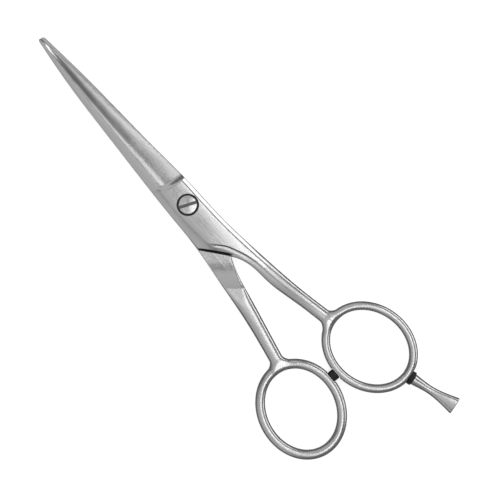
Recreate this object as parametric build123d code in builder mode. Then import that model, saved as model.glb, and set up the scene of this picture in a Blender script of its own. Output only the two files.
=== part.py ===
from build123d import *
import os
from math import cos, radians, sin, sqrt

# Six-inch hair cutting shears, closed, lying on the underside of the lower half.
# The origin is on the pivot axis, on the resting plane. +X runs to the tip, +Y to the side of the
# thumb bow, and +Z towards the screw head. All sizes are in millimetres.
#
# Both halves are described in one "own frame", lying as the upper half does: inner face down, spine
# side +Y, handle side -Y. turned_over() then lays the lower half in place.

# ---- Thickness -----------------------------------------------------------------------------------
thickness = 4.6  # both halves together
face_gap = 0.1  # running gap between the inner faces
mid_z = thickness / 2
inner_z = mid_z + face_gap / 2  # inner face of the upper half
plate_t = thickness - inner_z  # pivot plate of one half

# ---- Blades --------------------------------------------------------------------------------------
tip_x = 67.3
blade_root_x = 6.0
bevel_w = 0.35  # honed bevel along the cutting edge
bevel_h = 0.4
face_sag = 0.05  # depth of the hollow-ground outer face, per width of the blade
ride_w = 0.5  # flat ride line left along the edges of the hollow inner face
hollow_sag = 0.012  # depth of the hollow inner face, per width of the blade
# Along the upper blade: x, cutting edge y, ridge y, spine y, ridge height, spine height.
upper_stations = [
    (blade_root_x, -4.72, 3.4, 6.05, 2.23, 1.36),
    (21.0, -3.55, 3.0, 5.42, 2.02, 1.22),
    (36.0, -2.28, 2.6, 4.72, 1.72, 1.05),
    (52.0, -0.72, 2.1, 3.76, 1.34, 0.82),
    (tip_x, 1.0, 1.55, 2.1, 0.88, 0.52),
]
edge_inset = 0.45  # the lower cutting edge stops this far inside the upper spine
spine_peek = [-0.05, -0.03, 0.3, 0.7, 0.9]  # lower spine beyond the upper cutting edge

# ---- Plan of the pivot plate, tang and shank, own frame --------------------------------------------
upper_plan = {
    "front": [(7.0, -4.65), (7.35, -1.5), (8.7, 2.4), (10.4, 5.86)],
    "spine": [(10.4, 5.86), (0.0, 6.2), (-13.0, 6.4)],
    "inner": [(-13.0, 6.4), (-17.1, 2.86), (-22.6, -1.2), (-33.3, -3.3), (-44.2, -5.7), (-55.4, -8.0)],
    "outer": [(7.0, -4.65), (0.0, -4.9), (-13.3, -5.6), (-26.0, -7.15), (-40.0, -9.2), (-55.4, -12.42)],
}
lower_plan = {
    "front": [(7.0, -5.55), (7.35, -1.5), (8.7, 2.0), (10.4, 4.3)],
    "spine": [(10.4, 4.3), (0.0, 4.7), (-13.0, 5.3)],
    "inner": [(-13.0, 5.3), (-16.6, 2.2), (-22.4, -1.06), (-33.3, -3.75), (-44.2, -6.05), (-55.6, -8.5)],
    "outer": [(7.0, -5.55), (0.0, -6.0), (-13.0, -6.72), (-22.4, -7.75), (-37.0, -9.4), (-55.6, -12.7)],
}
plate_mid_x = 4.0  # curves whose middles lie behind this run along the plate, not across its front
outer_chamfer = (1.2, 0.8)  # plan width and depth
spine_chamfer = (2.65, 0.89)
inner_chamfer = (2.3, 1.3)

# ---- Relief behind the plate, and the weld between tang and handle ---------------------------------
wheel_r = 15.0  # grinding wheel that leaves the ramp at the end of the flat inner face
shoulder = (-28.6, -5.3)  # a point on the top of the ramp
shoulder_angle = 40.5  # direction from the shoulder towards the tip, from +X
weld_behind = 0.9  # from the top of the ramp back to the weld
at_weld = 0.2  # edges nearer the weld than this stay sharp
clear_of_all = 120.0  # reaches past every piece

# ---- Bows ------------------------------------------------------------------------------------------
hole_a = 12.7  # half the length of the finger hole
hole_b = 10.3  # half its width
upper_rim_w = 2.7
lower_rim_w = 3.05
rim_r = 1.2  # rounding of the rim's edges
bow_tilt = 13.0  # the bows' long axes point backwards and outwards
upper_bow = (-68.45, -13.85)
lower_bow = (-69.25, -14.1)
crotch_r = 3.6

# ---- Pivot -----------------------------------------------------------------------------------------
bush_r = 3.4
bush_wall = 0.5
bush_depth = 1.35  # below the plate's face
bush_floor = 0.4
sleeve_r = 2.35
shoulder_r = 1.8
thread_r = 1.5
running = 0.05  # radial clearance of every turning fit
head_r = bush_r - bush_wall - running
head_proud = 0.12
head_edge_r = 0.25
slot_w = 0.95
slot_depth = 0.7
slot_angle = 67.0
pellet_r = 0.5
pellet_l = 1.6

# ---- Bumper ----------------------------------------------------------------------------------------
bumper_r = 1.75
bumper_x = -67.8  # where the two rims come closest
bumper_seat = 0.5  # depth of the flat notch milled into each rim
bumper_gap = 0.1  # left beside the bumper in the notches, and between it and the finger rim
bumper_stem_r = 0.8
bumper_stem_l = 1.6

# ---- Finger rest -----------------------------------------------------------------------------------
rest_angle = 16.75  # its axis points backwards and outwards
seat_depth = 0.3  # flat seat for the washer, ground off the rim
washer_r = 2.15
washer_t = 1.3
rest_gap = 0.02  # on both faces of the washer
rest_l = 15.0
# Along the rest: distance from its base, half width and half thickness.
rest_stations = [
    (0.0, 1.75, 1.75),
    (2.2, 1.52, 1.52),
    (5.4, 1.3, 1.3),
    (10.0, 1.72, 1.42),
    (rest_l, 2.75, 1.6),
]
rest_end_r = 0.3
washer_edge_r = 0.3
thread_rest_r = 1.0
thread_rest_l = 3.7  # from the base of the rest, through the washer into the rim


def tilted(angle):
    """Unit vector in plan that points backwards and outwards, angle from -X towards -Y."""
    return Vector(-cos(radians(angle)), -sin(radians(angle)))


def turned_over(shape):
    """The lower half's place for a shape described in the own frame."""
    return shape.rotate(Axis((0, 0, mid_z), (1, 0, 0)), 180)


def plan_profile(plan, bow_centre, rim_w):
    """Plan of plate, tang, shank and bow, with the crotch of the bow filleted."""
    rim_a = hole_a + rim_w
    rim_b = hole_b + rim_w
    front_of_bow = Vector(*bow_centre) - tilted(bow_tilt) * rim_a
    with BuildSketch() as profile:
        with BuildLine():
            Spline(*plan["front"])
            Spline(*plan["spine"])
            Spline(*plan["inner"])
            Line(plan["inner"][-1], plan["outer"][-1])
            Spline(*plan["outer"])
        make_face()
        with Locations(Location(bow_centre, 180 + bow_tilt)):
            Ellipse(rim_a, rim_b)
        fillet(profile.vertices().sort_by_distance(front_of_bow)[:2], crotch_r)
        with Locations(Location(bow_centre, 180 + bow_tilt)):
            Ellipse(hole_a, hole_b, mode=Mode.SUBTRACT)
    return profile.sketch


def blade_solid(stations):
    """Blade blank: bevelled edge, hollow-ground face, ridge, spine bevel and hollow inner face."""
    with BuildPart() as blade:
        for x, edge_y, ridge_y, spine_y, ridge_h, spine_h in stations:
            width = spine_y - edge_y
            face_mid = ((edge_y + bevel_w + ridge_y) / 2, (bevel_h + ridge_h) / 2 - face_sag * width)
            ride = min(ride_w, width / 4)
            hollow_mid = ((edge_y + spine_y) / 2, hollow_sag * width)
            with BuildSketch(Plane((x, 0, inner_z), x_dir=(0, 1, 0), z_dir=(1, 0, 0))):
                with BuildLine():
                    Line((edge_y, 0), (edge_y + bevel_w, bevel_h))
                    ThreePointArc((edge_y + bevel_w, bevel_h), face_mid, (ridge_y, ridge_h))
                    Line((ridge_y, ridge_h), (spine_y, spine_h))
                    Line((spine_y, spine_h), (spine_y, 0))
                    Line((spine_y, 0), (spine_y - ride, 0))
                    ThreePointArc((spine_y - ride, 0), hollow_mid, (edge_y + ride, 0))
                    Line((edge_y + ride, 0), (edge_y, 0))
                make_face()
        loft()
        nose_r = width / 2
        with BuildSketch(Plane.XY.offset(inner_z)):
            with Locations((tip_x, (edge_y + spine_y) / 2)):
                Rectangle(2 * nose_r, 2 * width)
            with Locations((tip_x - nose_r, (edge_y + spine_y) / 2)):
                Circle(nose_r, mode=Mode.SUBTRACT)
        extrude(amount=plate_t, mode=Mode.SUBTRACT)
    return blade.part


def weld_plane():
    """Upright plane of the weld. The tang is on its positive side."""
    towards_tip = Vector(cos(radians(shoulder_angle)), sin(radians(shoulder_angle)))
    return Plane(Vector(*shoulder) - towards_tip * weld_behind, z_dir=towards_tip)


def relief_solid():
    """What the flat inner face and its ground ramp take off the full thickness."""
    towards_tip = Vector(cos(radians(shoulder_angle)), sin(radians(shoulder_angle)))
    ramp_l = sqrt(wheel_r**2 - (wheel_r - inner_z) ** 2)
    half_ramp = ramp_l / 2
    ramp_mid = (half_ramp, inner_z - wheel_r + sqrt(wheel_r**2 - half_ramp**2))
    sideways = towards_tip.cross(Vector(0, 0, 1))
    with BuildPart() as relief:
        with BuildSketch(Plane(Vector(*shoulder), x_dir=towards_tip, z_dir=sideways)):
            with BuildLine():
                ThreePointArc((0, 0), ramp_mid, (ramp_l, inner_z))
                Polyline(
                    (ramp_l, inner_z),
                    (clear_of_all, inner_z),
                    (clear_of_all, -clear_of_all),
                    (0, -clear_of_all),
                    (0, 0),
                )
            make_face()
        extrude(amount=clear_of_all, both=True)
    return relief.part


def blade_piece(plan, bow_centre, rim_w, stations):
    """Pivot plate, tang and blade of one half, in the own frame, with no pivot hole yet."""
    with BuildPart() as piece:
        with BuildSketch():
            add(plan_profile(plan, bow_centre, rim_w))
        extrude(amount=thickness)
        split(bisect_by=weld_plane(), keep=Keep.TOP)
        sides = [(0, outer_chamfer), (1, inner_chamfer), (2, spine_chamfer)]
        for place, (across, down) in sides:
            top = piece.faces().sort_by(Axis.Z)[-1]
            curves = piece.edges().group_by(Axis.Z)[-1].filter_by(GeomType.BSPLINE)
            side = [c for c in curves.sort_by(Axis.Y) if c.center().X < plate_mid_x][place]
            chamfer(side, across, down, reference=top)
        add(relief_solid(), mode=Mode.SUBTRACT)
        add(blade_solid(stations))
    return piece.part


def handle_piece(plan, bow_centre, rim_w):
    """Shank and bow of one half, in the own frame, rounded all over."""
    with BuildPart() as piece:
        with BuildSketch():
            add(plan_profile(plan, bow_centre, rim_w))
        extrude(amount=thickness)
        split(bisect_by=weld_plane(), keep=Keep.BOTTOM)
        level = piece.edges().group_by(Axis.Z)
        rims = [e for e in level[0] + level[-1] if abs(weld_plane().to_local_coords(e.center()).Z) > at_weld]
        fillet(rims, rim_r)
    return piece.part


lower_stations = []
for (x, edge_y, ridge_y, spine_y, ridge_h, spine_h), peek in zip(upper_stations, spine_peek):
    lower_spine_y = peek - edge_y
    lower_ridge_y = lower_spine_y - (spine_y - ridge_y)
    lower_stations.append((x, edge_inset - spine_y, lower_ridge_y, lower_spine_y, ridge_h, spine_h))


def rim_reach(half_length, half_width):
    """How far the rim's side stands out from its centre towards the other bow, with the bow tilted."""
    tilt = radians(bow_tilt)
    return sqrt((half_length * sin(tilt)) ** 2 + (half_width * cos(tilt)) ** 2)


# ---- Places worked out from the dimensions ---------------------------------------------------------
thumb_rim_y = -lower_bow[1] - rim_reach(hole_a + lower_rim_w, hole_b + lower_rim_w)
finger_rim_y = upper_bow[1] + rim_reach(hole_a + upper_rim_w, hole_b + upper_rim_w)
bumper_root_y = thumb_rim_y + bumper_seat
bumper_face_y = finger_rim_y - bumper_seat + bumper_gap
notch_w = 2 * (bumper_r + bumper_gap)
bumper_plane = Plane((bumper_x, bumper_root_y, mid_z), x_dir=(1, 0, 0), z_dir=(0, 1, 0))
rest_apex = Vector(*upper_bow) + tilted(bow_tilt) * (hole_a + upper_rim_w)
rest_axis = tilted(rest_angle)
rest_side = (rest_axis.Y, -rest_axis.X, 0)
rest_plane = Plane((rest_apex.X, rest_apex.Y, mid_z), x_dir=rest_side, z_dir=rest_axis)
washer_plane = rest_plane.offset(rest_gap - seat_depth)
rest_base_plane = washer_plane.offset(washer_t + rest_gap)
bush_seat_z = thickness - bush_depth
head_base_z = bush_seat_z + bush_floor + running
screw_end_z = running
crown_edge_r = head_r - head_edge_r
crown_r = (crown_edge_r**2 + head_proud**2) / (2 * head_proud)

# ---- Upper half ------------------------------------------------------------------------------------
with BuildPart() as upper_blade:
    add(blade_piece(upper_plan, upper_bow, upper_rim_w, upper_stations))
    with Locations((0, 0, thickness)):
        CounterBoreHole(sleeve_r, bush_r, bush_depth)
upper_blade.part.label = "upper_blade"

with BuildPart() as upper_handle:
    add(handle_piece(upper_plan, upper_bow, upper_rim_w))
    with BuildSketch(rest_plane.offset(-2 * upper_rim_w)):
        Circle(thread_rest_r + running)
    extrude(amount=3 * upper_rim_w, mode=Mode.SUBTRACT)
    with BuildSketch(rest_plane.offset(-seat_depth)):
        Rectangle(3 * thickness, 3 * thickness)
    extrude(amount=upper_rim_w, mode=Mode.SUBTRACT)
    with Locations((bumper_x, finger_rim_y, mid_z)):
        Box(notch_w, 2 * bumper_seat, 2 * thickness, mode=Mode.SUBTRACT)
upper_handle.part.label = "upper_handle"

# ---- Lower half ------------------------------------------------------------------------------------
with BuildPart() as lower_blade:
    add(turned_over(blade_piece(lower_plan, lower_bow, lower_rim_w, lower_stations)))
    with BuildSketch():
        Circle(thread_r + running)
    extrude(amount=thickness, mode=Mode.SUBTRACT)
lower_blade.part.label = "lower_blade"

with BuildPart() as bumper:
    with BuildSketch(bumper_plane):
        Circle(bumper_r)
    extrude(amount=bumper_face_y - bumper_root_y)
    with BuildSketch(bumper_plane):
        Circle(bumper_stem_r)
    extrude(amount=bumper_stem_l)
bumper.part.label = "bumper"

with BuildPart() as lower_handle:
    add(turned_over(handle_piece(lower_plan, lower_bow, lower_rim_w)))
    with Locations((bumper_x, thumb_rim_y, mid_z)):
        Box(notch_w, 2 * bumper_seat, 2 * thickness, mode=Mode.SUBTRACT)
    add(bumper.part, mode=Mode.SUBTRACT)
lower_handle.part.label = "lower_handle"

# ---- Pivot -----------------------------------------------------------------------------------------
with BuildPart() as pivot_bush:
    with BuildSketch(Plane.XY.offset(inner_z)):
        Circle(sleeve_r)
    extrude(amount=bush_depth)
    with BuildSketch(Plane.XY.offset(bush_seat_z)):
        Circle(bush_r)
    extrude(amount=bush_depth)
    with BuildSketch(Plane.XY.offset(bush_seat_z + bush_floor)):
        Circle(bush_r - bush_wall)
    extrude(amount=bush_depth, mode=Mode.SUBTRACT)
    with BuildSketch(Plane.XY.offset(inner_z)):
        Circle(shoulder_r + running)
    extrude(amount=thickness, mode=Mode.SUBTRACT)
pivot_bush.part.label = "pivot_bush"

with BuildPart() as lock_pellet:
    with BuildSketch(Plane.XY.offset(screw_end_z)):
        Circle(thread_r)
    extrude(amount=mid_z - face_gap)
    with BuildSketch(Plane.YZ.offset(thread_r - pellet_l)):
        with Locations((0, mid_z / 2)):
            Circle(pellet_r)
    extrude(amount=pellet_l, mode=Mode.INTERSECT)
lock_pellet.part.label = "lock_pellet"

with BuildPart() as pivot_screw:
    with BuildSketch(Plane.XZ):
        with BuildLine():
            Polyline(
                (0, thickness + head_proud),
                (0, screw_end_z),
                (thread_r, screw_end_z),
                (thread_r, mid_z),
                (shoulder_r, mid_z),
                (shoulder_r, head_base_z),
                (head_r, head_base_z),
                (head_r, thickness - head_edge_r),
            )
            JernArc((head_r, thickness - head_edge_r), (0, 1), head_edge_r, 90)
            RadiusArc((crown_edge_r, thickness), (0, thickness + head_proud), -crown_r)
        make_face()
    revolve(axis=Axis.Z)
    with BuildSketch(Plane.XY.offset(thickness + head_proud - slot_depth)):
        Rectangle(2 * bush_r, slot_w, rotation=slot_angle)
    extrude(amount=thickness, mode=Mode.SUBTRACT)
    add(lock_pellet.part, mode=Mode.SUBTRACT)
pivot_screw.part.label = "pivot_screw"

# ---- Finger rest -----------------------------------------------------------------------------------
with BuildPart() as finger_rest_washer:
    with BuildSketch(washer_plane):
        Circle(washer_r)
        Circle(thread_rest_r + 2 * running, mode=Mode.SUBTRACT)
    extrude(amount=washer_t)
    fillet(finger_rest_washer.edges().sort_by(SortBy.LENGTH)[-2:], washer_edge_r)
finger_rest_washer.part.label = "finger_rest_washer"

with BuildPart() as finger_rest:
    for along, half_w, half_t in rest_stations:
        with BuildSketch(rest_base_plane.offset(along)):
            Ellipse(half_w, half_t)
    loft()
    fillet(finger_rest.faces().sort_by_distance(rest_apex)[-1].edges(), rest_end_r)
    with BuildSketch(rest_base_plane.offset(-thread_rest_l)):
        Circle(thread_rest_r)
    extrude(amount=thread_rest_l)
finger_rest.part.label = "finger_rest"

os.makedirs("parts", exist_ok=True)
pieces = [upper_blade, upper_handle, lower_blade, lower_handle, bumper]
pieces += [pivot_bush, pivot_screw, lock_pellet, finger_rest_washer, finger_rest]
for piece in pieces:
    export_step(piece.part, f"parts/{piece.part.label}.step")
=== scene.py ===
import bpy
import bmesh
import numpy as np
from math import cos, sin, pi, radians, sqrt
from mathutils import Matrix, Vector


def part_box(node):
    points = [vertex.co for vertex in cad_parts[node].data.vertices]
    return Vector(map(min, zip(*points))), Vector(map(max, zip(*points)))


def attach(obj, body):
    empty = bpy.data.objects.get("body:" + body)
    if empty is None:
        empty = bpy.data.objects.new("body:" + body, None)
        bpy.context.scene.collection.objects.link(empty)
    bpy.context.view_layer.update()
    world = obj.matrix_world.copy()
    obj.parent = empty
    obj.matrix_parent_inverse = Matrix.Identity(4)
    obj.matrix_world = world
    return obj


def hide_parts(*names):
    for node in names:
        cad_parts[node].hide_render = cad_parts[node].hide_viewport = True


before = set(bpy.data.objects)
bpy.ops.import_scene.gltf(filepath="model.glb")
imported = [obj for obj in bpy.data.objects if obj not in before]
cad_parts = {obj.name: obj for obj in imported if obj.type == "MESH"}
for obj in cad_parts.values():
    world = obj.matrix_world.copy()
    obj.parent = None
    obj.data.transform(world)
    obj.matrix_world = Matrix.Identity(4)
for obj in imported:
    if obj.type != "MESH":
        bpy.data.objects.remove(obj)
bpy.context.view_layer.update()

MM = 0.001

# ---- Camera: straight down on the shears, the tip towards the upper left -----------------------------
VIEW_TURN = radians(49.5)      # the tip points this far above "left" in the picture
VIEW_CENTRE = Vector((-22.57, -5.41, 2.3)) * MM
VIEW_WIDTH = 151.34 * MM
LENS = 200.0
SENSOR = 36.0


def make_camera():
    data = bpy.data.cameras.new("camera")
    data.lens = LENS
    data.sensor_width = SENSOR
    data.clip_start = 0.01
    data.clip_end = 20.0
    camera = bpy.data.objects.new("camera", data)
    bpy.context.scene.collection.objects.link(camera)
    right = Vector((-cos(VIEW_TURN), -sin(VIEW_TURN), 0))
    up = Vector((sin(VIEW_TURN), -cos(VIEW_TURN), 0))
    back = right.cross(up)
    place = Matrix((right, up, back)).transposed().to_4x4()
    place.translation = VIEW_CENTRE + back * (VIEW_WIDTH * LENS / SENSOR)
    camera.matrix_world = place
    bpy.context.scene.camera = camera


# ---- Node helpers ------------------------------------------------------------------------------------
class Nodes:
    """A short way to write a node tree."""

    def __init__(self, tree):
        self.tree = tree
        tree.nodes.clear()

    def new(self, kind, **settings):
        node = self.tree.nodes.new(kind)
        inputs = settings.pop("inputs", {})
        for name, value in settings.items():
            setattr(node, name, value)
        for name, value in inputs.items():
            if isinstance(value, bpy.types.NodeSocket):
                self.tree.links.new(value, node.inputs[name])
            else:
                node.inputs[name].default_value = value
        return node

    def ramp(self, value, low, high, to_low, to_high):
        """The value mapped from low..high to to_low..to_high, and clamped."""
        return self.new("ShaderNodeMapRange", inputs={
            "Value": value, "From Min": low, "From Max": high,
            "To Min": to_low, "To Max": to_high}).outputs[0]

    def maths(self, operation, first, second):
        node = self.new("ShaderNodeMath", operation=operation)
        self.tree.links.new(first, node.inputs[0])
        self.tree.links.new(second, node.inputs[1])
        return node.outputs[0]


def steel(name, colour, roughness, grain, depth, rings=False, painted_rear_shade=False):
    """Satin steel: fine grinding lines, soft cloudiness and hair scratches, or turning rings about Z with
    painted shade on the screw slot's floor; optionally also painted shade along the tang's rear edge.
    """
    material = bpy.data.materials.new(name)
    material.use_nodes = True
    n = Nodes(material.node_tree)
    where = n.new("ShaderNodeTexCoord").outputs["Object"]
    lines = n.new("ShaderNodeMapping", inputs={"Vector": where, "Scale": grain})
    if rings:
        fine = n.new("ShaderNodeTexWave", wave_type="RINGS", rings_direction="Z", inputs={
            "Vector": where, "Scale": 1150.0, "Distortion": 0.8, "Detail": 2.0, "Detail Scale": 2.0})
    else:
        fine = n.new("ShaderNodeTexNoise", inputs={
            "Vector": lines.outputs[0], "Scale": 1.0, "Detail": 5.0, "Roughness": 0.65})
    streaks = n.new("ShaderNodeMapping", inputs={"Vector": where, "Scale": (25.0, 900.0, 900.0)})
    streak = n.new("ShaderNodeTexNoise", inputs={"Vector": streaks.outputs[0], "Scale": 1.0, "Detail": 3.0})
    cloud = n.new("ShaderNodeTexNoise", inputs={"Vector": where, "Scale": 140.0, "Detail": 3.0})
    mixed = n.maths("ADD", streak.outputs[0], cloud.outputs[0])
    rough = n.ramp(mixed, 0.7, 1.3, roughness - 0.05, roughness + 0.06)
    value = n.ramp(mixed, 0.7, 1.3, 0.93, 1.05)
    place_xyz = n.new("ShaderNodeSeparateXYZ", inputs={"Vector": where})
    if rings:
        # painted shade: the floor of the slot is darkened by height, standing in for the shade down in the
        # slot
        slot_painted_shade = n.ramp(place_xyz.outputs["Z"], 0.0040, 0.00455, 0.16, 1.0)
        value = n.maths("MULTIPLY", value, slot_painted_shade)
    if painted_rear_shade:
        # painted shade: the steep rear edge of the tang is darkened by place and facing, standing in for the
        # shadow in the gap where it lies over the lower tang
        normal = n.new("ShaderNodeTexCoord").outputs["Normal"]
        facing = n.new("ShaderNodeSeparateXYZ", inputs={"Vector": normal})
        level = n.ramp(facing.outputs["Z"], 0.72, 0.9, 0.04, 1.0)
        away = n.ramp(facing.outputs["Y"], 0.0, 0.2, 1.0, 0.0)
        ahead = n.ramp(place_xyz.outputs["X"], -0.0125, -0.0105, 0.0, 1.0)
        behind = n.ramp(place_xyz.outputs["X"], -0.028, -0.0225, 1.0, 0.0)
        unshaded = n.maths("MAXIMUM", n.maths("MAXIMUM", level, away), n.maths("MAXIMUM", ahead, behind))
        value = n.maths("MULTIPLY", value, unshaded)
    tone = n.new("ShaderNodeVectorMath", operation="SCALE")
    tone.inputs[0].default_value = colour
    n.tree.links.new(value, tone.inputs["Scale"])
    bump = n.new("ShaderNodeBump", inputs={"Height": fine.outputs[0], "Distance": depth, "Strength": 1.0})
    shader = n.new("ShaderNodeBsdfPrincipled", inputs={
        "Base Color": tone.outputs[0], "Metallic": 1.0, "Roughness": rough, "Normal": bump.outputs[0]})
    n.new("ShaderNodeOutputMaterial", inputs={"Surface": shader.outputs[0]})
    return material


def dull(name, colour, roughness, grain, depth):
    """Moulded plastic or rubber: a fine skin texture with slightly uneven gloss."""
    material = bpy.data.materials.new(name)
    material.use_nodes = True
    n = Nodes(material.node_tree)
    where = n.new("ShaderNodeTexCoord").outputs["Object"]
    skin = n.new("ShaderNodeTexNoise", inputs={"Vector": where, "Scale": grain, "Detail": 4.0})
    rough = n.new("ShaderNodeMapRange", inputs={
        "Value": skin.outputs[0], "To Min": roughness - 0.06, "To Max": roughness + 0.1})
    tone = n.new("ShaderNodeMapRange", inputs={"Value": skin.outputs[0], "To Min": 0.7, "To Max": 1.3})
    mixed = n.new("ShaderNodeVectorMath", operation="SCALE")
    mixed.inputs[0].default_value = colour
    n.tree.links.new(tone.outputs[0], mixed.inputs["Scale"])
    bump = n.new("ShaderNodeBump", inputs={"Height": skin.outputs[0], "Distance": depth, "Strength": 1.0})
    shader = n.new("ShaderNodeBsdfPrincipled", inputs={
        "Base Color": mixed.outputs[0], "Roughness": rough.outputs[0], "Normal": bump.outputs[0]})
    n.new("ShaderNodeOutputMaterial", inputs={"Surface": shader.outputs[0]})
    return material


def make_world():
    world = bpy.data.worlds.new("studio")
    bpy.context.scene.world = world
    world.use_nodes = True
    n = Nodes(world.node_tree)
    back = n.new("ShaderNodeBackground", inputs={"Color": (1, 1, 1, 1), "Strength": 0.16})
    n.new("ShaderNodeOutputWorld", inputs={"Surface": back.outputs[0]})


def softbox(name, towards, distance, size, radiance):
    """A rectangular area light that looks at the middle of the shears, its brightness given as radiance."""
    data = bpy.data.lights.new(name, "AREA")
    data.shape = "RECTANGLE"
    data.size, data.size_y = size
    data.energy = radiance * pi * size[0] * size[1]
    light = bpy.data.objects.new(name, data)
    bpy.context.scene.collection.objects.link(light)
    towards = Vector(towards).normalized()
    light.location = VIEW_CENTRE + towards * distance
    light.rotation_euler = towards.to_track_quat("Z", "Y").to_euler()


def make_floor():
    mesh = bpy.data.meshes.new("floor")
    size = 3.0
    corners = [(-size, -size, 0), (size, -size, 0), (size, size, 0), (-size, size, 0)]
    mesh.from_pydata(corners, [], [(0, 1, 2, 3)])
    floor = bpy.data.objects.new("floor", mesh)
    floor.location.z = -0.0002
    bpy.context.scene.collection.objects.link(floor)
    material = bpy.data.materials.new("floor")
    material.use_nodes = True
    n = Nodes(material.node_tree)
    shader = n.new("ShaderNodeBsdfPrincipled", inputs={
        "Base Color": (0.9, 0.9, 0.9, 1), "Roughness": 0.9,
        "Emission Color": (1, 1, 1, 1), "Emission Strength": 0.75})
    n.new("ShaderNodeOutputMaterial", inputs={"Surface": shader.outputs[0]})
    mesh.materials.append(material)
    floor.visible_glossy = False


# ---- Steel halves ------------------------------------------------------------------------------------
# Each half is described in one "own frame", lying as the upper half does: inner face down, spine side
# +Y, handle side -Y. The lower half is then turned over. Sizes in this part are in millimetres.
THICKNESS = 4.6
INNER_Z = 2.35
TIP_X = 67.3
HOLE_A, HOLE_B = 12.7, 10.3
BOW_TILT = radians(13.0)
WHEEL_R = 15.0
SHOULDER = (-28.6, -5.3)
TO_TIP = (cos(radians(40.5)), sin(radians(40.5)))
WELD_BEHIND = 0.9
REST_ANGLE = radians(16.75)
REST_ROLL = radians(9)              # the flared end is not quite level where the thread comes tight
SEAT_DEPTH = 0.3
BUMPER_X = -67.8
BUMPER_R = 1.72
BUMPER_SEAT = 0.5
BUMPER_STEM_L = 1.6
NOTCH_W = 3.7


def spline(points):
    """Natural cubic spline through the points, straight beyond its ends, as a function of x."""
    points = sorted(points)
    x = np.array([p[0] for p in points], float)
    y = np.array([p[1] for p in points], float)
    count = len(x)
    gap = np.diff(x)
    rise = np.diff(y) / gap
    system = np.eye(count)
    right = np.zeros(count)
    for i in range(1, count - 1):
        system[i, i - 1:i + 2] = gap[i - 1], 2 * (gap[i - 1] + gap[i]), gap[i]
        right[i] = 6 * (rise[i] - rise[i - 1])
    bend = np.linalg.solve(system, right)
    start = rise[0] - gap[0] * (2 * bend[0] + bend[1]) / 6
    end = rise[-1] + gap[-1] * (bend[-2] + 2 * bend[-1]) / 6

    def value(at):
        inner = np.clip(at, x[0], x[-1])
        i = np.clip(np.searchsorted(x, inner) - 1, 0, count - 2)
        a, b = x[i + 1] - inner, inner - x[i]
        h = gap[i]
        out = (bend[i] * a**3 + bend[i + 1] * b**3) / (6 * h)
        out += (y[i] / h - bend[i] * h / 6) * a + (y[i + 1] / h - bend[i + 1] * h / 6) * b
        return out + np.minimum(at - x[0], 0) * start + np.maximum(at - x[-1], 0) * end

    return value


def step(value, low, high):
    """Smooth step from 0 at low to 1 at high."""
    t = np.clip((value - low) / (high - low), 0, 1)
    return t * t * (3 - 2 * t)


def smooth_max(a, b, k):
    h = np.maximum(k - np.abs(a - b), 0) / k
    return np.maximum(a, b) + h * h * k / 4


def soft_ramp(value, width):
    """Zero below 0 and value above it, with the bend spread over about the width."""
    return width / 3 * np.logaddexp(0, value / width * 3)


def smooth_min(a, b, k):
    return -smooth_max(-a, -b, k)


def off_ellipse(x, y, a, b):
    """Distance outside an ellipse, close to exact near its outline."""
    g = np.sqrt((x / a) ** 2 + (y / b) ** 2) + 1e-9
    return (g - 1) * g / np.sqrt((x / a**2) ** 2 + (y / b**2) ** 2 + 1e-12)


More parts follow.
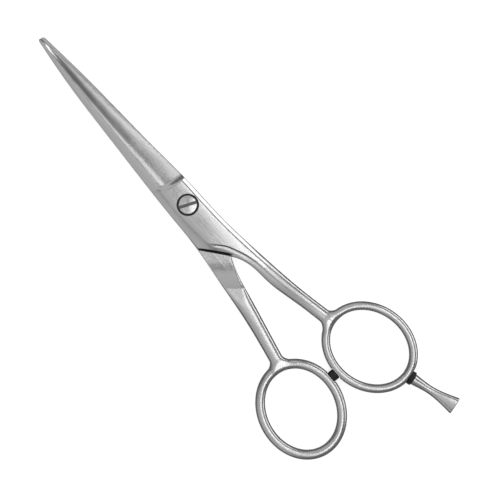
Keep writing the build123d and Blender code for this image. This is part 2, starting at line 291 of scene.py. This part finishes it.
class Half:
    """Distance field of one half of the shears."""

    def __init__(self, edge, ridge, spine, tail, bow, rim_w, round_at, rest_hole):
        self.edge = spline(edge)            # cutting edge, then the outer side of plate, tang and shank
        self.ridge = spline(ridge)          # ridge of the blade, then the crease of plate, tang and shank
        self.spine = spline(spine)          # spine of blade and plate
        self.tail = spline(tail)            # inner side of tang and shank
        self.bow = bow
        self.rim_w = rim_w
        self.round_at = round_at            # this far behind the pivot the shank is fully rounded
        self.rest_hole = rest_hole

    def apex(self):
        """Where the long axis of the bow leaves the rim, at the back."""
        reach = HOLE_A + self.rim_w
        return self.bow[0] - cos(BOW_TILT) * reach, self.bow[1] - sin(BOW_TILT) * reach

    def sides(self, x, y):
        """Plan distance to the sides of blade, plate, tang and shank."""
        low = self.edge(x)
        high = np.minimum(self.spine(x), self.tail(x))
        half = np.maximum((high - low) / 2, 0.05)
        middle = (high + low) / 2
        lean = np.where(self.tail(x) < self.spine(x), 1 + 0.18 * step(x, -26, -17), 1)
        plan = ((y - middle) ** 2 - half**2) / (2 * half * lean)
        nose = 0.56
        tip = np.hypot(x - (TIP_X - nose), y - middle) - nose
        return np.where(x > TIP_X - nose, np.maximum(plan, tip), plan)

    def top(self, x, y):
        """Height of the outer face."""
        low, ridge, spine = self.edge(x), self.ridge(x), self.spine(x)
        # the plate and what follows it
        beyond = y - ridge
        softness = 1.6 - 1.35 * step(-x, 9, 17)
        fall = 0.335 - 0.075 * step(-x, 11, 18)
        roll = soft_ramp(beyond, softness)
        groove = 0.24 * step(-x, 12.8, 16) * (1 - 0.85 * step(-x, 20, 34))
        groove = groove * step(beyond, -0.25, 0.02) * (1 - step(beyond, 0.1, 1.3))
        ledge = 0.14 * step(-x, 12.5, 19) * (1 - 0.6 * step(-x, 24, 40)) * step(beyond, -0.1, 0.25)
        across = (y - 1.6) / 5.5
        crown = 0.26 * across**2 * (1 - step(-x, 30, 46))
        facet = (fall * roll + ledge) * (1 - step(-x, 38, 52)) + groove
        at_rear = step(-x, 11.5, 13.5) * (1 - step(-x, 18, 22))
        rear_edge = at_rear * soft_ramp(y - self.tail(x) + 1.15, 0.25)
        plate = THICKNESS - crown - facet - rear_edge
        chamfer = 0.62 * (1 - step(-x, 24, 44))
        band = low + 1.25 - y
        plate = plate - chamfer * soft_ramp(band, 0.42)
        # the blade
        length = np.clip((x - 6) / (TIP_X - 6), 0, 1)
        ridge_h = INNER_Z + 2.23 - 1.35 * length
        spine_h = INNER_Z + 1.36 - 0.84 * length
        width = spine - low
        sag = 0.05 + 0.07 * step(x, 12, 38)
        t = np.clip((y - low - 0.35) / np.maximum(ridge - low - 0.35, 0.1), 0, 1)
        hollow = INNER_Z + 0.4 + (ridge_h - INNER_Z - 0.4) * t - sag * width * t * (1 - t)
        honed = INNER_Z + (y - low) * 0.4 / 0.35
        back = ridge_h - (ridge_h - spine_h) * beyond / np.maximum(spine - ridge, 0.1)
        blade = smooth_min(smooth_min(hollow, back, 0.14 * width), honed, 0.06)
        front = 8.0 + 0.17 * y + 0.022 * y * y
        return plate + (blade - plate) * step(x - front, -1.0, 1.0)

    def bottom(self, x, y):
        """Height of the inner face, of the ramp behind it and of the full-thickness shank."""
        ramp = np.sqrt(WHEEL_R**2 - (WHEEL_R - INNER_Z) ** 2)
        s = (x - SHOULDER[0]) * TO_TIP[0] + (y - SHOULDER[1]) * TO_TIP[1]
        arc = INNER_Z - WHEEL_R + np.sqrt(WHEEL_R**2 - (ramp - np.clip(s, 0, ramp)) ** 2)
        low, high = self.edge(x), self.spine(x)
        t = np.clip((y - low) / np.maximum(high - low, 0.1), 0, 1)
        hollow = 0.05 * (high - low) * t * (1 - t) * step(x, 9, 12)
        return np.where(s > 0, arc + hollow, 0.0)

    def __call__(self, x, y, z):
        u, v = x - self.bow[0], y - self.bow[1]
        p = -u * cos(BOW_TILT) - v * sin(BOW_TILT)
        q = u * sin(BOW_TILT) - v * cos(BOW_TILT)
        hole = off_ellipse(p, q, HOLE_A, HOLE_B)
        rim = off_ellipse(p, q, HOLE_A + self.rim_w, HOLE_B + self.rim_w)
        ring = hole * rim / np.maximum(hole - rim, 0.5)
        shank = np.maximum(self.sides(x, y), -55.0 - x)
        near_bow = step(-x, 36, 52)
        plan = smooth_min(shank, ring, 0.05 + 2.6 * near_bow)
        plan = smooth_max(plan, -hole, 0.25)
        edge_k = 0.12 + 0.1 * step(-x, -8, 0) + 0.5 * step(-x, 18, 30) + 1.15 * step(-x, 28, self.round_at)
        swell = 0.1 * step(-x, 28, 46)
        faces = np.maximum(z - self.top(x, y) - swell, self.bottom(x, y) - z - swell)
        field = smooth_max(plan, faces, edge_k)
        long_r, short_r = HOLE_A + self.rim_w, HOLE_B + self.rim_w
        rim_side = self.bow[1] + np.hypot(long_r * sin(BOW_TILT), short_r * cos(BOW_TILT))
        notch = np.maximum(np.abs(x - BUMPER_X) - NOTCH_W / 2, rim_side - BUMPER_SEAT - y)
        field = smooth_max(field, -notch, 0.12)
        if self.rest_hole:
            c, s = cos(REST_ANGLE), sin(REST_ANGLE)
            apex = self.apex()
            along = -(x - apex[0]) * c - (y - apex[1]) * s
            off = np.hypot((x - apex[0]) * s - (y - apex[1]) * c, z - THICKNESS / 2)
            field = smooth_max(field, along + SEAT_DEPTH, 0.1)
            field = np.maximum(field, -np.maximum(off - 1.06, -4.9 - along))
        return field


def surface_net(field, axes):
    """Closed quad mesh of field = 0 on a grid of the three axes, its points moved onto the surface."""
    x, y, z = axes
    value = field(x[:, None, None], y[None, :, None], z[None, None, :])
    value = np.broadcast_to(value, (len(x), len(y), len(z)))
    inside = value < 0
    shape = tuple(n - 1 for n in inside.shape)
    corners = sum(inside[i:i + shape[0], j:j + shape[1], k:k + shape[2]].astype(np.int8)
                  for i in (0, 1) for j in (0, 1) for k in (0, 1))
    mixed = (corners > 0) & (corners < 8)
    index = np.full(shape, -1)
    cells = np.argwhere(mixed)
    index[mixed] = np.arange(len(cells))
    # start at the mean of the crossings on the cell's edges
    start = np.zeros((len(cells), 3))
    number = np.zeros(len(cells))
    for axis in range(3):
        others = [a for a in range(3) if a != axis]
        for d0 in (0, 1):
            for d1 in (0, 1):
                a = cells.copy()
                a[:, others[0]] += d0
                a[:, others[1]] += d1
                b = a.copy()
                b[:, axis] += 1
                va, vb = value[tuple(a.T)], value[tuple(b.T)]
                cut = (va < 0) != (vb < 0)
                t = np.where(cut, va / np.where(cut, va - vb, 1), 0)
                pa = np.stack([axes[n][a[:, n]] for n in range(3)], 1)
                pb = np.stack([axes[n][b[:, n]] for n in range(3)], 1)
                start += np.where(cut[:, None], pa + (pb - pa) * t[:, None], 0)
                number += cut
    points = start / number[:, None]
    size = np.stack([np.diff(axes[n])[cells[:, n]] for n in range(3)], 1)
    origin = points.copy()
    for _ in range(4):
        here = field(*points.T)
        slope = np.stack([(field(*(points + d).T) - field(*(points - d).T)) / 0.004
                          for d in 0.002 * np.eye(3)], 1)
        points = points - slope * (here / np.maximum((slope**2).sum(1), 0.05))[:, None]
        points = np.clip(points, origin - 0.6 * size, origin + 0.6 * size)
    quads = []
    for axis in range(3):
        o0, o1 = [(axis + 1) % 3, (axis + 2) % 3]
        first = [slice(1, n - 1) for n in inside.shape]
        first[axis] = slice(0, inside.shape[axis] - 1)
        second = list(first)
        second[axis] = slice(1, inside.shape[axis])
        here, there = inside[tuple(first)], inside[tuple(second)]
        for flip, where in ((False, here & ~there), (True, ~here & there)):
            at = np.argwhere(where) + [0 if a == axis else 1 for a in range(3)]
            ring = []
            for d0, d1 in ((-1, -1), (0, -1), (0, 0), (-1, 0)):
                c = at.copy()
                c[:, o0] += d0
                c[:, o1] += d1
                ring.append(index[tuple(c.T)])
            ring = np.stack(ring, 1)
            quads.append(ring[:, ::-1] if flip else ring)
    return points, np.concatenate(quads)


UPPER = Half(
    edge=[(67.3, 1.0), (52, -0.72), (36, -2.28), (21, -3.55), (7, -4.65), (0, -4.9), (-13.3, -5.6),
          (-26, -7.15), (-40, -9.2), (-55.4, -12.42)],
    ridge=[(67.3, 1.55), (52, 2.1), (36, 2.6), (21, 3.0), (6, 3.4), (0, 3.6), (-10, 3.0), (-13.8, 2.15),
           (-16.5, -0.2), (-19.3, -1.85), (-24.1, -3.8), (-33.3, -5.5), (-44, -7.7), (-54, -10.0)],
    spine=[(67.3, 2.1), (52, 3.76), (36, 4.72), (21, 5.42), (6, 6.05), (0, 6.2), (-13, 6.4)],
    tail=[(-9, 9.7), (-13, 6.4), (-17.1, 2.86), (-22.6, -1.2), (-33.3, -3.3), (-44.2, -5.7), (-55.4, -8.0)],
    bow=(-68.45, -13.85), rim_w=2.7, round_at=46, rest_hole=True)
LOWER = Half(
    edge=[(67.3, -1.65), (52, -3.31), (36, -4.27), (21, -4.97), (7, -5.58), (0, -6.0), (-13, -6.72),
          (-22.4, -7.75), (-37, -9.4), (-55.6, -12.7)],
    ridge=[(67.3, -0.65), (52, -0.24), (36, 0.46), (21, 1.1), (6, 2.02), (0, 2.2), (-10, 1.9), (-13.8, 1.1),
           (-16.5, -0.6), (-19.3, -2.0), (-24.1, -3.9), (-33.3, -5.9), (-44, -8.0), (-54, -10.4)],
    spine=[(67.3, -0.1), (52, 1.42), (36, 2.58), (21, 3.52), (6, 4.67), (0, 4.9), (-13, 5.3)],
    tail=[(-9, 8.4), (-13, 5.3), (-16.6, 2.2), (-22.4, -1.06), (-33.3, -3.75), (-44.2, -6.05), (-55.6, -8.5)],
    bow=(-69.25, -14.1), rim_w=3.05, round_at=36, rest_hole=False)


def axis_of(*spans):
    """Grid line places: each span gives its start, its end and its pitch."""
    return np.concatenate([np.arange(a, b, pitch) for a, b, pitch in spans])


def mesh_from(name, points, faces):
    mesh = bpy.data.meshes.new(name)
    mesh.from_pydata(points.tolist(), [], faces.tolist())
    mesh.polygons.foreach_set("use_smooth", [True] * len(mesh.polygons))
    return mesh


def place(name, mesh, body, material, node):
    obj = bpy.data.objects.new(name, mesh)
    bpy.context.scene.collection.objects.link(obj)
    mesh.materials.clear()
    mesh.materials.append(material)
    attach(obj, body)
    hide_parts(node)


def cut_at_weld(mesh, keep_tip_side):
    """Cut the mesh by the upright weld plane of the own frame and close the cut."""
    bm = bmesh.new()
    bm.from_mesh(mesh)
    normal = Vector((TO_TIP[0], TO_TIP[1], 0))
    point = Vector((SHOULDER[0], SHOULDER[1], 0)) - normal * WELD_BEHIND
    geometry = bm.verts[:] + bm.edges[:] + bm.faces[:]
    cut = bmesh.ops.bisect_plane(
        bm, geom=geometry, dist=1e-5, plane_co=point, plane_no=normal,
        clear_inner=keep_tip_side, clear_outer=not keep_tip_side)
    rim = [e for e in cut["geom_cut"] if isinstance(e, bmesh.types.BMEdge)]
    cap = bmesh.ops.contextual_create(bm, geom=rim)["faces"]
    for face in cap:
        face.smooth = False
    bmesh.ops.recalc_face_normals(bm, faces=bm.faces)
    bm.to_mesh(mesh)
    bm.free()


def cylinder(radius, low, high, sides=96):
    """A closed upright cylinder, as a tool for cutting."""
    bm = bmesh.new()
    bmesh.ops.create_cone(bm, cap_ends=True, segments=sides, radius1=radius, radius2=radius, depth=high - low)
    bmesh.ops.translate(bm, verts=bm.verts, vec=(0, 0, (low + high) / 2))
    mesh = bpy.data.meshes.new("cutter")
    bm.to_mesh(mesh)
    bm.free()
    return mesh


def cut_out(mesh, tools):
    """The mesh with the tool meshes taken out."""
    obj = bpy.data.objects.new("cut", mesh)
    bpy.context.scene.collection.objects.link(obj)
    helpers = []
    for tool in tools:
        helper = bpy.data.objects.new("tool", tool)
        bpy.context.scene.collection.objects.link(helper)
        helpers.append(helper)
        boolean = obj.modifiers.new("cut", "BOOLEAN")
        boolean.operation = "DIFFERENCE"
        boolean.solver = "EXACT"
        boolean.object = helper
    graph = bpy.context.evaluated_depsgraph_get()
    result = bpy.data.meshes.new_from_object(obj.evaluated_get(graph))
    for item in helpers + [obj]:
        bpy.data.objects.remove(item)
    return result


def build_half(half, fine, tools, turn_over, names, body, materials):
    """Blade and handle meshes of one half, in place."""
    blade_axes = (axis_of((-35, 12, 0.2 * fine), (12, 68.2, 0.42 * fine)),
                  axis_of((-9.8, 7.4, 0.16 * fine)), axis_of((-0.3, 5.0, 0.17 * fine)))
    handle_axes = (axis_of((-85.2, -26, 0.22 * fine)),
                   axis_of((-29.2, 1, 0.22 * fine)), axis_of((-0.3, 5.0, 0.22 * fine)))
    turn = Matrix.Rotation(pi, 4, "X") if turn_over else Matrix()
    shift = Matrix.Translation((0, 0, THICKNESS)) if turn_over else Matrix()
    for name, axes, tip_side, material in zip(names, (blade_axes, handle_axes), (True, False), materials):
        points, quads = surface_net(half, axes)
        mesh = mesh_from(name, points, quads)
        cut_at_weld(mesh, tip_side)
        if tip_side:
            mesh = cut_out(mesh, tools)
        mesh.name = name
        mesh.transform(Matrix.Scale(MM, 4) @ shift @ turn)
        mesh.set_sharp_from_angle(angle=radians(50))
        place(name + "_form", mesh, body, material, name)


# ---- Small pieces ------------------------------------------------------------------------------------
def rounded(corners, radius, steps=5):
    """Open outline through the corners (distance from axis, height), with every inner corner rounded."""
    out = [corners[0]]
    for before, here, after in zip(corners, corners[1:], corners[2:]):
        here = np.array(here, float)
        r = here[2] if len(here) > 2 else radius
        here = here[:2]
        back, on = np.array(before[:2]) - here, np.array(after[:2]) - here
        reach = min(r, np.linalg.norm(back) * 0.48, np.linalg.norm(on) * 0.48)
        a = here + back / np.linalg.norm(back) * reach
        b = here + on / np.linalg.norm(on) * reach
        for t in np.linspace(0, 1, steps):
            out.append(tuple((1 - t) ** 2 * a + 2 * t * (1 - t) * here + t * t * b))
    out.append(corners[-1])
    return [tuple(p[:2]) for p in out]


def loft(name, sections, closed_ends=True):
    """Quad mesh through equal-sized rings of points. A closed loft gets its ends capped by triangles."""
    rows = np.array(sections)
    count, sides = rows.shape[:2]
    points = rows.reshape(-1, 3)
    faces = []
    for i in range(count - 1):
        for j in range(sides):
            k = (j + 1) % sides
            faces.append((i * sides + j, i * sides + k, (i + 1) * sides + k, (i + 1) * sides + j))
    if closed_ends:
        centres = [rows[0].mean(0), rows[-1].mean(0)]
        points = np.vstack([points, centres])
        for j in range(sides):
            k = (j + 1) % sides
            faces.append((k, j, count * sides))
            faces.append(((count - 1) * sides + j, (count - 1) * sides + k, count * sides + 1))
    mesh = bpy.data.meshes.new(name)
    mesh.from_pydata(points.tolist(), [], faces)
    mesh.polygons.foreach_set("use_smooth", [True] * len(mesh.polygons))
    bm = bmesh.new()
    bm.from_mesh(mesh)
    bmesh.ops.recalc_face_normals(bm, faces=bm.faces)
    bm.to_mesh(mesh)
    bm.free()
    return mesh


def turned(name, outline, sides=72, ring=False):
    """Solid of revolution about Z. A ring's outline is closed and never meets the axis."""
    angles = np.linspace(0, 2 * pi, sides, endpoint=False)
    if ring:
        outline = outline + outline[:1]
    else:
        outline = [(max(r, 0.02), h) for r, h in outline]
    sections = [[(r * cos(t), r * sin(t), h) for t in angles] for r, h in outline]
    mesh = loft(name, sections, closed_ends=not ring)
    if ring:
        bm = bmesh.new()
        bm.from_mesh(mesh)
        bmesh.ops.remove_doubles(bm, verts=bm.verts, dist=1e-5)
        bmesh.ops.recalc_face_normals(bm, faces=bm.faces)
        bm.to_mesh(mesh)
        bm.free()
    return mesh


def axis_frame(origin, direction):
    """Matrix whose Z runs along a flat direction from the origin."""
    z = Vector(direction).normalized()
    x = Vector((0, 0, 1)).cross(z)
    y = z.cross(x)
    frame_matrix = Matrix((x, y, z)).transposed().to_4x4()
    frame_matrix.translation = Vector(origin)
    return frame_matrix


def put(mesh, matrix, body, material, node):
    """Place a small piece that was made in millimetres about its own axis."""
    mesh.transform(Matrix.Scale(MM, 4) @ matrix)
    mesh.set_sharp_from_angle(angle=radians(40))
    place(node + "_form", mesh, body, material, node)


def screw_mesh():
    """Slotted screw with a crowned head; the thread runs out through the lower plate."""
    top = THICKNESS + 0.12
    crown = [(0.0, top)] + [(2.45 * t, top - 0.1 * t * t) for t in np.linspace(0.1, 1, 12)]
    side = rounded([(2.45, top - 0.1), (2.83, THICKNESS - 0.04), (2.84, 4.15), (2.84, 3.75, 0.05),
                    (1.78, 3.75, 0.08), (1.78, 2.35, 0.05), (1.48, 2.3)], 0.14)
    thread = [(1.48 - 0.15 * (i % 2), 2.2 - 0.125 * i) for i in range(15)]
    end = [(1.42, 0.3), (1.2, 0.06), (0.0, 0.05)]
    mesh = turned("pivot_screw", crown + side[1:-1] + thread + end, 96)
    slot = turned("slot", [(0.0, 0.0), (1.0, 0.0), (1.0, 1.0), (0.0, 1.0)], 4)
    slot.transform(Matrix.Translation((0, 0, top - 0.7)) @ Matrix.Rotation(radians(67), 4, "Z")
                   @ Matrix.Diagonal((5.0, 0.95 / sqrt(2), 1.2, 1)) @ Matrix.Rotation(radians(45), 4, "Z"))
    return cut_out(mesh, [slot])


def rest_mesh():
    """Flared finger rest: round at its base, waisted, then a wide flat-sided end, with a threaded stud."""
    width = spline([(0, 1.72), (2.2, 1.5), (5.4, 1.28), (8.0, 1.42), (10.8, 1.82), (15.0, 2.74)])
    depth = spline([(0, 1.72), (2.2, 1.5), (5.4, 1.28), (10.0, 1.42), (15.0, 1.58)])
    angles = np.linspace(0, 2 * pi, 72, endpoint=False)

    def section(along, scale=1.0, inset=0.0):
        power = 2 + 1.2 * float(step(along, 6, 13))
        w, d = float(width(along)) * scale - inset, float(depth(along)) * scale - inset
        c, s = np.cos(angles), np.sin(angles)
        r = (np.abs(c / w) ** power + np.abs(s / d) ** power) ** (-1 / power)
        c, s = c * cos(REST_ROLL) - s * sin(REST_ROLL), s * cos(REST_ROLL) + c * sin(REST_ROLL)
        return np.stack([r * c, r * s, np.full(len(angles), along)], 1)

    rows = []
    turns, pitch, sink = 9, 0.4, 0.12
    for height in np.linspace(-3.65, -0.02, int(turns * 12)):
        phase = np.mod((height / pitch) - angles / (2 * pi), 1)
        r = 1.0 - 0.05 - sink * np.abs(2 * phase - 1) * (1 - step(height, -0.5, -0.1))
        r = r * (1 - 0.25 * (1 - step(height, -3.65, -3.3)))
        rows.append(np.stack([r * np.cos(angles), r * np.sin(angles), np.full(len(angles), height)], 1))
    for t in np.linspace(0, 1, 6)[:-1]:
        rows.append(section(0.02 + 0.18 * (1 - cos(t * pi / 2)), inset=0.18 * (1 - sin(t * pi / 2))))
    for along in np.linspace(0.2, 14.65, 48):
        rows.append(section(along))
    for t in np.linspace(0.15, 1, 7):
        rows.append(section(14.65 + 0.33 * sin(t * pi / 2), inset=0.33 * (1 - cos(t * pi / 2))))
    for inset in (0.7, 1.1):
        rows.append(section(14.99, inset=inset))
    return loft("finger_rest", rows)


make_camera()
make_world()
make_floor()
softbox("bright", (-0.14, -0.15, 1), 1.25, (0.8, 0.26), 2.4)
softbox("overhead", (-0.05, 0.25, 1), 1.5, (1.5, 0.85), 0.42)
softbox("far_side", (0.1, 1.0, 0.75), 1.3, (1.8, 0.8), 0.4)
softbox("side", (-0.25, -1.0, 0.42), 1.2, (1.8, 0.45), 2.0)
softbox("tip_side", (1.0, -0.35, 1.0), 1.3, (1.15, 1.4), 0.42)

along_blade = (70.0, 3600.0, 3600.0)
blade_steel = steel("blade_steel", (0.68, 0.68, 0.68), 0.24, along_blade, 0.000008)
# the tang steel carries painted shade along the steep rear edge of the tang
tang_steel_painted_shade = steel("tang_steel_painted_shade", (0.68, 0.68, 0.68), 0.24, along_blade, 0.000008, painted_rear_shade=True)
handle_steel = steel("handle_steel", (0.66, 0.66, 0.66), 0.28, (500.0, 2600.0, 2600.0), 0.000006)
# the screw steel carries painted shade on the floor of its slot
screw_steel = steel("screw_steel", (0.74, 0.74, 0.74), 0.22, (1, 1, 1), 0.000008, rings=True)
black_acetal = dull("black_acetal", (0.012, 0.012, 0.013), 0.38, 900.0, 0.00002)
black_rubber = dull("black_rubber", (0.016, 0.016, 0.017), 0.6, 1400.0, 0.00005)
nylon = dull("nylon", (0.8, 0.8, 0.76), 0.5, 900.0, 0.00002)

FINE = 1.0
upper_tools = [cylinder(3.41, THICKNESS - 1.36, THICKNESS + 1), cylinder(2.36, 1, THICKNESS)]
lower_tools = [cylinder(1.55, 1, THICKNESS + 1)]
build_half(UPPER, FINE, upper_tools, False, ("upper_blade", "upper_handle"), "finger_half",
           (tang_steel_painted_shade, handle_steel))
build_half(LOWER, FINE, lower_tools, True, ("lower_blade", "lower_handle"), "thumb_half",
           (blade_steel, handle_steel))

put(screw_mesh(), Matrix(), "tension_screw", screw_steel, "pivot_screw")
bush = rounded([(3.38, 3.3), (3.38, 4.6), (2.91, 4.6), (2.91, 3.67), (1.87, 3.67), (1.87, 2.37), (2.33, 2.37),
                (2.33, 3.27), (3.38, 3.27), (3.38, 3.3)], 0.07)
put(turned("pivot_bush", bush[:-1], 96, ring=True), Matrix(), "finger_half", black_acetal, "pivot_bush")

low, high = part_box("bumper")
bumper_length = (high[1] - low[1]) / MM
bumper_at = axis_frame(((low[0] + high[0]) / 2 / MM, low[1] / MM, THICKNESS / 2), (0, 1, 0))
bumper_head = bumper_length - BUMPER_STEM_L
put(turned("bumper", rounded([(0.0, 0.0), (BUMPER_R - 0.05, 0.0, 0.3), (BUMPER_R, bumper_head / 2),
                              (BUMPER_R - 0.05, bumper_head - 0.01, 0.2), (0.8, bumper_head - 0.01, 0.05),
                              (0.8, bumper_length - 0.02), (0.0, bumper_length - 0.02)], 0.2)),
    bumper_at, "thumb_half", black_rubber, "bumper")

rest_way = (-cos(REST_ANGLE), -sin(REST_ANGLE), 0)
apex = Vector((*UPPER.apex(), THICKNESS / 2))
washer_at = axis_frame(apex + Vector(rest_way) * (0.02 - SEAT_DEPTH), rest_way)
washer = rounded([(1.1, 0.6), (1.1, 0.0), (2.15, 0.0), (2.15, 1.3), (1.1, 1.3), (1.1, 0.6)], 0.28)
washer_mesh = turned("washer", washer[:-1], 72, ring=True)
put(washer_mesh, washer_at, "rest_washer", black_rubber, "finger_rest_washer")
rest_at = axis_frame(apex + Vector(rest_way) * (0.02 - SEAT_DEPTH + 1.3 + 0.02), rest_way)
put(rest_mesh(), rest_at, "finger_rest", handle_steel, "finger_rest")
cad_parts["lock_pellet"].data.materials.clear()
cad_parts["lock_pellet"].data.materials.append(nylon)
bpy.context.scene.view_settings.view_transform = "Standard"
